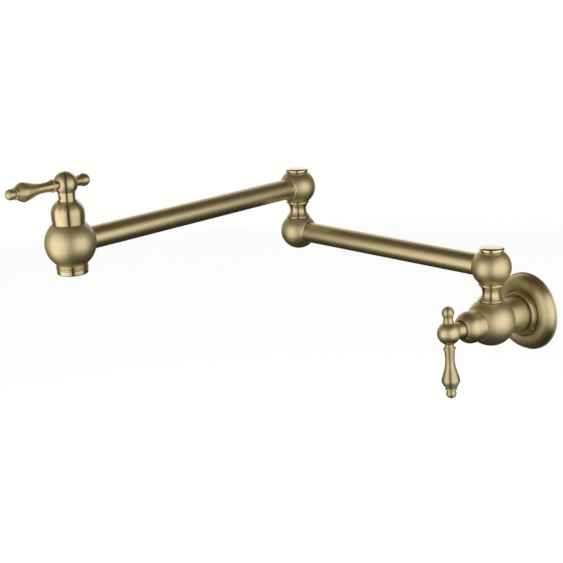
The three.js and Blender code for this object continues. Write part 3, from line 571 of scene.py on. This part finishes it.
# a flat glowing sheet between two angles
def spread(name, start, end, innerR, outerR, height, material):
    angles = anglesRound(start, end)
    corners = [roundObject(angle, outerR, height) for angle in angles]
    corners += [roundObject(angle, innerR, height) for angle in reversed(angles)]
    last = len(corners) - 1
    hang(name, corners, [(i, i + 1, last - 1 - i, last - i) for i in range(studio["sheetSteps"])], material)


# black sheets paint shade in front of and below the object, the brown one above paints dim light, and the
# grey and pale ones at the sides and low on the left paint light into the metal
blackGlowingSheet = glowingSheet("black_glowing_sheet", "#221f18")
brownGlowingSheet = glowingSheet("brown_glowing_sheet", "#55422a")
greyGlowingSheet = glowingSheet("grey_glowing_sheet", "#7a705c")
paleGlowingSheet = glowingSheet("pale_glowing_sheet", "#aca187")
drape("glowing_sheet_left", -150, -97, paleGlowingSheet)
drape("glowing_sheet_front", -97, 99, blackGlowingSheet)
drape("glowing_sheet_right", 99, 150, greyGlowingSheet)
spread("glowing_sheet_above", 0, 360, 0, studio["sheetRingRadius"], studio["sheetTop"], brownGlowingSheet)
spread("glowing_sheet_below", 0, 360, 0, studio["sheetRingRadius"], studio["sheetBottom"], blackGlowingSheet)
spread("glowing_sheet_below_left", **studio["lowPaleSheet"], material=paleGlowingSheet)
print("studio ready")


# swivel joints

swivel = {
    "ballR": 19, "elbowBallR": 18.92, "collarSeatR": 12.2, "capSeatR": 10.65,
    "tubeR": 10.5, "tubeInsert": 3.8, "lip": 1.7, "lipHeight": 0.9, "lipRoot": 2,
    "passageR": 3.8, "passageDrop": 1.5, "passageStart": 0.5, "journalBoreR": 8.2, "chamberR": 9.6,
    "threadBoreR": 7.0, "ledgeBoreR": 5.3, "ledgeBottom": 7.235, "ledgeTop": 9.735, "capBoreR": 8.3,
}
socketR = swivel["tubeR"] + fit
collarFlat = heightOnBall(swivel["ballR"], swivel["collarSeatR"])
capFlat = heightOnBall(swivel["ballR"], swivel["capSeatR"])


def tubeEnd(ballR):
    return heightOnBall(ballR, swivel["tubeR"]) - swivel["tubeInsert"]


# the socket that an arm tube enters, and the passage behind it
def tubeSocket(ballR, passageZ):
    floor = tubeEnd(ballR) - fit
    socket = placed(rod("socket", socketR, floor, ballR + overcut, segments=96), layAlongX)
    passage = placed(rod("passage", swivel["passageR"], swivel["passageStart"], floor + overcut),
                     shift(0, 0, passageZ) @ layAlongX)
    return socket, passage


# rounded lip round the socket's mouth, which catches the light beside the tube
def mouthLip(ballR):
    face = heightOnBall(ballR, socketR + swivel["lip"])
    half = swivel["lip"] / 2
    root = face - swivel["lipRoot"]
    ring = arc(socketR + half, face, half, swivel["lipHeight"], 0, 180, 14)
    return placed(turned("lip", [(socketR + 2 * half, root), *ring, (socketR, root)], segments=96), layAlongX)


def onLip(spot):
    return spot.x > 0 and sqrt(spot.y ** 2 + spot.z ** 2) < socketR + swivel["lip"]


def swivelBall(name, ballR):
    skin = ballArc(ballR, -collarFlat, capFlat)
    outline = [(0, -collarFlat), (*skin[0], brokenEdge), *skin[1:-1], (*skin[-1], brokenEdge), (0, capFlat)]
    chamberLow = -swivel["passageDrop"] - swivel["passageR"] - fit
    chamberHigh = -swivel["passageDrop"] + swivel["passageR"] + fit
    bore = turned("bore", [
        (0, -ballR - overcut), (swivel["journalBoreR"], -ballR - overcut),
        (swivel["journalBoreR"], chamberLow), (swivel["chamberR"], chamberLow),
        (swivel["chamberR"], chamberHigh), (swivel["journalBoreR"], chamberHigh),
        (swivel["journalBoreR"], swivel["ledgeBottom"]), (swivel["ledgeBoreR"], swivel["ledgeBottom"]),
        (swivel["ledgeBoreR"], swivel["ledgeTop"]), (swivel["capBoreR"], swivel["ledgeTop"]),
        (swivel["capBoreR"], ballR + overcut), (0, ballR + overcut)], segments=64)
    ball = machine(turned(name, outline), bore, *tubeSocket(swivel["ballR"], -swivel["passageDrop"]))
    return machine(ball, mouthLip(ballR), operation="UNION")


def elbowLowerBall(name):
    ballR = swivel["elbowBallR"]
    skin = ballArc(ballR, -ballR, collarFlat, 64)
    outline = [(0, -ballR), *skin[1:-1], (*skin[-1], brokenEdge), (0, collarFlat)]
    bore = rod("bore", swivel["threadBoreR"], -swivel["passageR"], ballR + overcut, segments=64)
    ball = machine(turned(name, outline), bore, *tubeSocket(swivel["ballR"], 0))
    return machine(ball, mouthLip(ballR), operation="UNION")


fitOut(swivelBall("shoulderBall", swivel["ballR"]), satinBrass, shoulder,
       "inner_arm", "shoulder_ball", second=facedBrass, onSecond=onLip)
fitOut(swivelBall("elbowUpperBall", swivel["elbowBallR"]), satinBrass, elbow,
       "outer_arm", "elbow_upper_ball", second=facedBrass, onSecond=onLip)
fitOut(elbowLowerBall("elbowLowerBall"), satinBrass, elbowLower,
       "inner_arm", "elbow_lower_ball", second=facedBrass, onSecond=onLip)
print("swivel balls made")

# spool-shaped collar: two rims with a hollow waist between
collar = {"height": 18.25, "rimR": 12.2, "neckR": 8.5, "rimBand": 2.1, "rimStep": 0.3, "chamfer": 1}


def spoolCollar(name):
    half = collar["height"] / 2
    waistHalf = half - collar["rimBand"]
    flare = collar["rimR"] - collar["rimStep"] - collar["neckR"]
    waistR = (waistHalf ** 2 + flare ** 2) / (2 * flare)  # radius of the waist's hollow
    span = degrees(asin(waistHalf / waistR))
    waist = arc(collar["neckR"] + waistR, 0, waistR, waistR, 180 + span, 180 - span, 24)
    rim = [(collar["rimR"], waistHalf, brokenEdge), (collar["rimR"], half - collar["chamfer"], brokenEdge),
           (collar["rimR"] - collar["chamfer"], half, brokenEdge), (swivel["threadBoreR"], half)]
    lowerRim = [(r, -z, *rounding) for r, z, *rounding in reversed(rim)]
    return turned(name, [
        *lowerRim, (*waist[0], crispEdge), *waist[1:-1], (*waist[-1], crispEdge), *rim])


for prefix, ball, body in (("shoulder", shoulder, "wall_side"), ("elbow", elbow, "inner_arm")):
    collarPlace = ball @ shift(0, 0, -collarFlat - fit - collar["height"] / 2)
    fitOut(spoolCollar(prefix + "Collar"), turnedBrass, collarPlace, body, prefix + "_collar")

# cap: a plug, a neck with a rounded foot that flares up to the rim, and a low dome with a soft edge
cap = {"plugR": 8.0, "plugDepth": 1.9, "neckR": 11.2, "footR": 0.6, "neckHeight": 1.7, "hollow": 1.6,
       "rimR": 12, "rimThickness": 0.5, "rimRounding": 0.18,
       "edgeWidth": 4.2, "edgeHeight": 1.9, "edgeSlope": 11}


def domedCap(name):
    base = capFlat + fit
    plugBottom = base - cap["plugDepth"]
    footTop = base + cap["footR"]
    neckTop = base + cap["neckHeight"]
    rimTop = neckTop + cap["rimThickness"]
    flare = cap["rimR"] - cap["neckR"]
    foot = arc(cap["neckR"] - cap["footR"], footTop, cap["footR"], cap["footR"], -90, 0, 8)
    hollow = [(cap["neckR"] + flare * share ** cap["hollow"], footTop + (neckTop - footTop) * share)
              for share in (k / 12 for k in range(1, 13))]
    # the edge is a quarter of an ellipse, cut off where it leans as little as the dome's foot does
    slope = tan(radians(cap["edgeSlope"]))
    edgeEnd = degrees(atan(cap["edgeHeight"] / (cap["edgeWidth"] * slope)))
    edge = arc(cap["rimR"] - cap["edgeWidth"], rimTop, cap["edgeWidth"], cap["edgeHeight"], 0, edgeEnd, 10)
    domeR, domeFoot = edge[-1]
    rise = domeR * slope / 2
    dome = [(domeR * k, domeFoot + rise * (1 - k * k)) for k in (1 - i / 20 for i in range(1, 20))]
    return turned(name, [
        (0, plugBottom), (cap["plugR"], plugBottom, brokenEdge), (cap["plugR"], base),
        *foot, *hollow[:-1], (*hollow[-1], cap["rimRounding"]), *edge, *dome, (0, domeFoot + rise)])


for prefix, ball, body in (("shoulder", shoulder, "inner_arm"), ("elbow", elbow, "outer_arm")):
    fitOut(domedCap(prefix + "Cap"), buffedBrass, ball, body, prefix + "_cap")


# arm tubes

tube = {"wall": 1.2, "bands": 8}  # bands keep its long faces short; its radius is in swivel


def armTube(name, start, end):
    outerR = swivel["tubeR"]
    innerR = outerR - tube["wall"]
    bands = [(outerR, start + (end - start) * i / tube["bands"]) for i in range(1, tube["bands"])]
    return placed(turned(name, [
        (innerR, start, fineEdge), (outerR, start, brokenEdge), *bands,
        (outerR, end, brokenEdge), (innerR, end, fineEdge)], segments=96), layAlongX)


fitOut(armTube("innerTube", tubeEnd(swivel["ballR"]), reach["inner"] - tubeEnd(swivel["ballR"])),
       drawnBrass, shoulder, "inner_arm", "inner_tube")
fitOut(armTube("outerTube", tubeEnd(swivel["ballR"]), reach["outer"] - tubeEnd(reach["valveBallR"])),
       drawnBrass, elbow, "outer_arm", "outer_tube")
print("arms made")


# valve balls, heights counting from the ball's centre towards the bonnet

valve = {"ballR": reach["valveBallR"], "seatR": 15.1, "cartridgeBoreR": 9.5, "seatDepth": 9, "waterwayR": 5,
         "supplyFace": 49.5, "shankR": 17, "shankEdge": 0.6, "supplySocketR": 9.6, "supplySocketDepth": 15}
bonnetSeat = heightOnBall(valve["ballR"], valve["seatR"])


# the cartridge's bore, the waterway under it and the wider bore that this opens into
def waterBore(openR, openTop, mouth):
    above = valve["ballR"] + overcut
    below = mouth - overcut
    return turned("bore", [
        (0, above), (valve["cartridgeBoreR"], above), (valve["cartridgeBoreR"], -valve["seatDepth"]),
        (valve["waterwayR"], -valve["seatDepth"]), (valve["waterwayR"], openTop),
        (openR, openTop), (openR, below), (0, below)], segments=72)


def wallValveBody(name):
    ballR, face = valve["ballR"], -valve["supplyFace"]
    skin = ballArc(ballR, -heightOnBall(ballR, valve["shankR"]), bonnetSeat, 52)
    outline = [(0, face), (valve["shankR"], face, valve["shankEdge"]),
               *skin[:-1], (*skin[-1], brokenEdge), (0, bonnetSeat)]
    bore = waterBore(valve["supplySocketR"], face + valve["supplySocketDepth"], face)
    # the flat and the threaded hole on top, where the shoulder collar stands
    flat = heightOnBall(ballR, swivel["collarSeatR"])
    above = ballR + overcut
    top = turned("top", [
        (0, swivel["passageStart"]), (swivel["threadBoreR"], swivel["passageStart"]),
        (swivel["threadBoreR"], flat), (ballR, flat), (ballR, above), (0, above)], segments=72)
    return machine(turned(name, outline, segments=128), bore, placed(top, turn("X", -90)))


fitOut(wallValveBody("wallValveBody"), satinBrass, wallValve, "wall_side", "wall_valve_body")

# beads stand one pitch apart; firstBead and beadHeight are shares of that pitch
outlet = {"neckR": 13.7, "beadR": 14.75, "creaseR": 14.05, "beads": 3, "beadPitch": 1.52, "firstBead": 0.6,
          "beadHeight": 0.94, "neckBottom": -23.7, "boreTop": -13.2, "boreR": 11.4}
outletNeckTop = -heightOnBall(valve["ballR"], outlet["neckR"])


def spoutBody(name):
    beads = []
    for i in reversed(range(outlet["beads"])):
        middle = outletNeckTop - (i + outlet["firstBead"]) * outlet["beadPitch"]
        beads += arc(outlet["creaseR"], middle, outlet["beadR"] - outlet["creaseR"],
                     outlet["beadPitch"] * outlet["beadHeight"] / 2, -90, 90, 8)
    skin = ballArc(valve["ballR"], outletNeckTop, bonnetSeat, 52)
    outline = [(0, outlet["neckBottom"]), (outlet["neckR"], outlet["neckBottom"]), *beads,
               *skin[:-1], (*skin[-1], brokenEdge), (0, bonnetSeat)]
    bore = waterBore(outlet["boreR"], outlet["boreTop"], outlet["neckBottom"])
    ball = machine(turned(name, outline, segments=128), bore, *tubeSocket(valve["ballR"], 0))
    return machine(ball, mouthLip(valve["ballR"]), operation="UNION")


def onNeck(spot):
    return spot.z < outletNeckTop


fitOut(spoutBody("spoutBody"), satinBrass, spout @ turn("Z", 180), "outer_arm", "spout_body",
       second=turnedBrass, onSecond=onNeck)
print("valve bodies made")


# bonnets: a plain bell over each cartridge, open round the handle's neck

bonnet = {"baseR": 14.75, "maxR": 15.35, "skirt": 10, "dome": 13.3, "wall": 1.5, "holeR": 9.0}


def bellBonnet(name):
    base = bonnetSeat + fit
    skirtTop = base + bonnet["skirt"]
    innerR = bonnet["maxR"] - bonnet["wall"]
    outerLip, innerLip = (degrees(acos(bonnet["holeR"] / r)) for r in (bonnet["maxR"], innerR))
    outer = arc(0, skirtTop, bonnet["maxR"], bonnet["dome"], 0, outerLip, 26)
    inner = arc(0, skirtTop, innerR, bonnet["dome"] - bonnet["wall"], innerLip, 0, 16)
    # the skirt swells a little towards its top, so the two curves meet without a break
    swell = bonnet["maxR"] - bonnet["baseR"]
    skirt = [(bonnet["baseR"] + swell * sin(pi / 2 * share), base + bonnet["skirt"] * share)
             for share in (k / 6 for k in range(1, 6))]
    return turned(name, [
        (bonnet["baseR"] - bonnet["wall"], base, fineEdge), (bonnet["baseR"], base, crispEdge),
        *skirt, *outer[:-1], (*outer[-1], brokenEdge), (*inner[0], brokenEdge), *inner[1:]])


fitOut(bellBonnet("wallBonnet"), softBrass, wallValve, "wall_side", "wall_bonnet")
fitOut(bellBonnet("spoutBonnet"), turnedBrass, spout, "outer_arm", "spout_bonnet")


# set screws: each hole flares where it breaks out of the skin. Heights are along the axis of what
# the screw holds, and the rest counts outwards from that axis.

screw = {"r": 1.5, "keyR": 0.75}
hubScrew = {"height": 43.16, "start": 4.1, "end": 6.9, "holeStart": 2, "flareStart": 7.2, "holeEnd": 8.5,
            "flare": 1.3}
flangeScrew = {"height": 11.65, "angle": -33, "start": 17.45, "end": 20.2, "holeStart": 15,
               "flareStart": 20.9, "holeEnd": 22, "flare": 0.6}


def screwHole(size):
    r = screw["r"] + fit
    return turned("screwHole", [
        (0, size["holeStart"]), (r, size["holeStart"]), (r, size["flareStart"]),
        (r + size["flare"], size["holeEnd"]), (0, size["holeEnd"])], segments=40)


# headless set screw with a hexagon socket
def setScrew(name, size):
    start, end = size["start"], size["end"]
    keyFloor = (start + end) / 2
    keyTop = end + overcut
    key = turned("key", [
        (0, keyFloor), (screw["keyR"], keyFloor), (screw["keyR"], keyTop), (0, keyTop)], segments=6)
    shank = turned(name, [
        (0, start), (screw["r"], start, fineEdge), (screw["r"], end, fineEdge), (0, end)], segments=40)
    return placed(machine(shank, key), layAlongX)


# handles: hub with its neck, turned lever, finial and set screw, all counting from the hub's centre

hub = {"ballR": 11, "neckR": 7.9, "bottom": -20.594, "stemBoreR": 4.1, "stemBoreTop": -7.794, "crease": 0.4,
       "pocketGap": 0.35, "pocketFlare": 0.45}
leverSize = {
    "stubR": 3, "stubLength": 5.5, "collarR": 4.25, "collarEnd": 13.4, "ringR": 5.9, "ringEdge": 0.8,
    "gripStart": 15.3, "gripEnd": 52.8,
    # the grip's radius at shares of its length: a thin waist, a belly near its end and a drawn-in end
    "grip": ((0, 5.1), (0.24, 4.4), (0.45, 5.1), (0.62, 6.925), (0.8, 8.75), (0.88, 8.1), (0.95, 6.65),
             (1, 5.4)),
    "grooveR": 3.8, "grooveLean": 0.15, "grooveEdge": 0.1,
    "bandStart": 53.3, "bandR": 5.5, "bandEnd": 54.8, "bandEdge": 0.25, "ballR": 4.9, "ballCentre": 58.6,
}
finialSize = {"stubR": 2.5, "footR": 5.2, "footHeight": 0.5, "neckR": 4.3, "beadR": 5, "beadHeight": 1,
              "beadGap": 0.6, "ballR": 5.85, "ballCentre": 19.9}
leverSeat = heightOnBall(hub["ballR"], leverSize["collarR"])
finialSeat = heightOnBall(hub["ballR"], finialSize["footR"])
pocketFloor = leverSeat - leverSize["stubLength"] - fit
stubStart = pocketFloor + 2 * fit


# the hole for a stub, and the wider recess round the foot above it
def pocket(name, stubR, seat, footR):
    recessR = footR + hub["pocketGap"]
    above = hub["ballR"] + overcut
    return placed(turned(name, [
        (0, pocketFloor), (stubR + fit, pocketFloor), (stubR + fit, seat), (recessR, seat),
        (recessR + hub["pocketFlare"], above), (0, above)], segments=64), layAlongX)


def handleHub(name):
    ballR = hub["ballR"]
    skin = ballArc(ballR, -heightOnBall(ballR, hub["neckR"]), ballR, 40)
    outline = [(0, hub["bottom"]), (hub["neckR"], hub["bottom"], brokenEdge), (*skin[0], hub["crease"]),
               *skin[1:-1], (0, ballR)]
    bore = rod("bore", hub["stemBoreR"], hub["bottom"] - overcut, hub["stemBoreTop"])
    leverPocket = pocket("leverPocket", leverSize["stubR"], leverSeat, leverSize["collarR"])
    finialPocket = pocket("finialPocket", finialSize["stubR"], finialSeat, finialSize["footR"])
    finialPocket.matrix_world = turn("Z", 180) @ finialPocket.matrix_world
    hole = placed(screwHole(hubScrew), shift(0, 0, hubScrew["height"] - reach["hubHeight"]) @ layAlongX)
    return machine(turned(name, outline, segments=96), bore, leverPocket, finialPocket, hole)


# a stub and a collar, a ring, the grip, a band between two grooves and a small ball
def turnedLever(name):
    size = leverSize
    start = leverSeat + fit
    length = size["gripEnd"] - size["gripStart"]
    grip = spline([(r, size["gripStart"] + share * length) for share, r in size["grip"]], 8)
    groove = degrees(acos(size["grooveR"] / size["ballR"]))
    end = arc(0, size["ballCentre"], size["ballR"], size["ballR"], -groove, 90, 22)
    return placed(turned(name, [
        (0, stubStart), (size["stubR"], stubStart, brokenEdge), (size["stubR"], start),
        (size["collarR"], start, fineEdge), (size["collarR"], size["collarEnd"], brokenEdge),
        (size["ringR"], size["collarEnd"], size["ringEdge"]),
        (size["ringR"], size["gripStart"], size["ringEdge"]), *grip,
        (size["grooveR"], size["gripEnd"] + size["grooveLean"], size["grooveEdge"]),
        (size["grooveR"], size["bandStart"] - size["grooveLean"], size["grooveEdge"]),
        (size["bandR"], size["bandStart"], fineEdge), (size["bandR"], size["bandEnd"], size["bandEdge"]),
        (size["grooveR"], size["bandEnd"] + size["grooveLean"]), *end[1:-1],
        (0, size["ballCentre"] + size["ballR"])], segments=80), layAlongX)


# a stub, a foot with a hollow neck, a bead and a ball
def turnedFinial(name):
    size = finialSize
    start = finialSeat + fit
    neckR, ballR, ballCentre = size["neckR"], size["ballR"], size["ballCentre"]
    beadMiddle = ballCentre - heightOnBall(ballR, neckR) - size["beadGap"]
    footTop = start + size["footHeight"]
    neckLength = beadMiddle - size["beadGap"] - footTop
    hollow = [(neckR + (size["footR"] - neckR) * (1 - share) ** 2, footTop + neckLength * share)
              for share in (k / 8 for k in range(9))]
    bead = arc(neckR, beadMiddle, size["beadR"] - neckR, size["beadHeight"] / 2, -90, 90, 8)
    end = arc(0, ballCentre, ballR, ballR, -degrees(acos(neckR / ballR)), 90, 26)
    return placed(turned(name, [
        (0, stubStart), (size["stubR"], stubStart, brokenEdge), (size["stubR"], start),
        (size["footR"], start, crispEdge), (*hollow[0], crispEdge), *hollow[1:], *bead, *end[1:-1],
        (0, ballCentre + ballR)], segments=80), turn("Z", 180) @ layAlongX)


for prefix, valveFrame, finish in (("wall", wallHandle, softBrass), ("spout", spout, turnedBrass)):
    body = prefix + "_handle"
    hubCentre = valveFrame @ shift(0, 0, reach["hubHeight"])
    screwPlace = valveFrame @ shift(0, 0, hubScrew["height"])
    fitOut(handleHub(prefix + "HandleHub"), finish, hubCentre, body, prefix + "_handle_hub")
    fitOut(turnedLever(prefix + "Lever"), handleBrass, hubCentre, body, prefix + "_lever")
    fitOut(turnedFinial(prefix + "Finial"), handleBrass, hubCentre, body, prefix + "_finial")
    fitOut(setScrew(prefix + "HubScrew", hubScrew), headedSteel, screwPlace,
           body, prefix + "_hub_screw")
print("handles made")


# aerator, heights counting from the spout ball's centre

aerator = {"bottom": -28.3, "shoulder": -23.8, "r": 14.3, "round": 1.3, "threadR": 11.1, "top": -15.0,
           "boreR": 10.2, "lipR": 9.3, "lip": 1.5}


def aeratorHousing(name):
    size = aerator
    edgeR = size["round"]
    edge = arc(size["r"] - edgeR, size["bottom"] + edgeR, edgeR, edgeR, -90, 0, 8)
    lipTop = size["bottom"] + size["lip"]
    return turned(name, [
        (size["lipR"], size["bottom"], fineEdge), *edge, (size["r"], size["shoulder"], brokenEdge),
        (size["threadR"], size["shoulder"]), (size["threadR"], size["top"]), (size["boreR"], size["top"]),
        (size["boreR"], lipTop), (size["lipR"], lipTop, fineEdge)])


fitOut(aeratorHousing("aeratorHousing"), turnedBrass, spout, "outer_arm", "aerator_housing")


# wall flange, heights counting out from the wall

flange = {"r": 38.4, "rim": 1.5, "rimStep": 1.1, "rimEdge": 0.9, "bellDepth": 11, "crestR": 27.5, "wall": 2,
          "grooveR": 22.5, "grooveDepth": 8.3, "trench": 2.2, "trenchWall": 1.2,
          "collarR": 21.2, "collarDepth": 15, "collarBack": 4, "boreR": 17.35, "mouthDepth": 4,
          "mouthStep": 0.6, "ridgeR": 1.15, "ridgeEnd": 145, "thinRidgeR": 0.45, "thinRidgeDrop": 1.3,
          "thinRidgeStart": 50}
flangeScrewPlace = shift(0, 0, flangeScrew["height"]) @ turn("Z", flangeScrew["angle"])


def wallFlange(name):
    size = flange
    crestR, grooveR, boreR = size["crestR"], size["grooveR"], size["boreR"]
    inset = size["r"] - size["rimStep"]
    underR = inset - size["wall"]
    rise = size["bellDepth"] - size["rim"]
    bell = arc(crestR, size["rim"], inset - crestR, rise, 0, 90, 28)
    dip = arc(crestR, size["grooveDepth"], crestR - grooveR, size["bellDepth"] - size["grooveDepth"],
              90, 180, 16)
    under = arc(crestR, size["rim"], underR - crestR, rise - size["wall"], 90, 0, 14)
    trench = size["grooveDepth"] - size["trench"]
    trenchBack = trench - size["trenchWall"]
    # the collar's end: a wide ridge, a valley and a thin ridge next to the shank
    wideR, thinR = size["ridgeR"], size["thinRidgeR"]
    lip = arc(size["collarR"] - wideR, size["collarDepth"] - wideR, wideR, wideR, 0, size["ridgeEnd"], 14)
    lip += arc(boreR + size["mouthStep"] + thinR, size["collarDepth"] - size["thinRidgeDrop"],
               thinR, thinR, size["thinRidgeStart"], 180, 10)
    mouth = size["collarDepth"] - size["mouthDepth"]
    outline = [
        (underR, 0), (size["r"], 0, brokenEdge), (size["r"], size["rim"], size["rimEdge"]),
        (*bell[0], fineEdge), *bell[1:], *dip[1:-1], (*dip[-1], fineEdge), (grooveR, trench),
        (size["collarR"], trench), *lip[:-1], (*lip[-1], brokenEdge), (lip[-1][0], mouth), (boreR, mouth),
        (boreR, size["collarBack"]), (boreR + size["wall"], size["collarBack"]),
        (boreR + size["wall"], trenchBack), (grooveR, trenchBack), *under]
    hole = placed(screwHole(flangeScrew), flangeScrewPlace @ layAlongX)
    return machine(turned(name, outline, segments=144), hole)


fitOut(wallFlange("wallFlange"), spunBrass, wallEnd, "wall_side", "flange")
fitOut(setScrew("flangeScrew", flangeScrew), headedSteel, wallEnd @ flangeScrewPlace,
       "wall_side", "flange_screw")
print("outlet and flange made")


# pieces that keep their CAD shape, all inside the brass, by the ending of their node's name

carried = {
    "spindle": machinedBrass, "retaining_nut": machinedBrass, "cartridge_body": machinedBrass,
    "_stem": machinedBrass, "seal_ring": nitrileRubber, "seat_seal": nitrileRubber,
    "aerator_washer": nitrileRubber, "_disc": lappedCeramic, "slip_washer": mouldedAcetal,
    "aerator_insert": mouldedAcetal,
}
for node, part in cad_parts.items():
    for ending, material in carried.items():
        if node.endswith(ending):
            for materialSlot in part.material_slots:
                materialSlot.material = material

bpy.context.scene.view_settings.view_transform = "Standard"
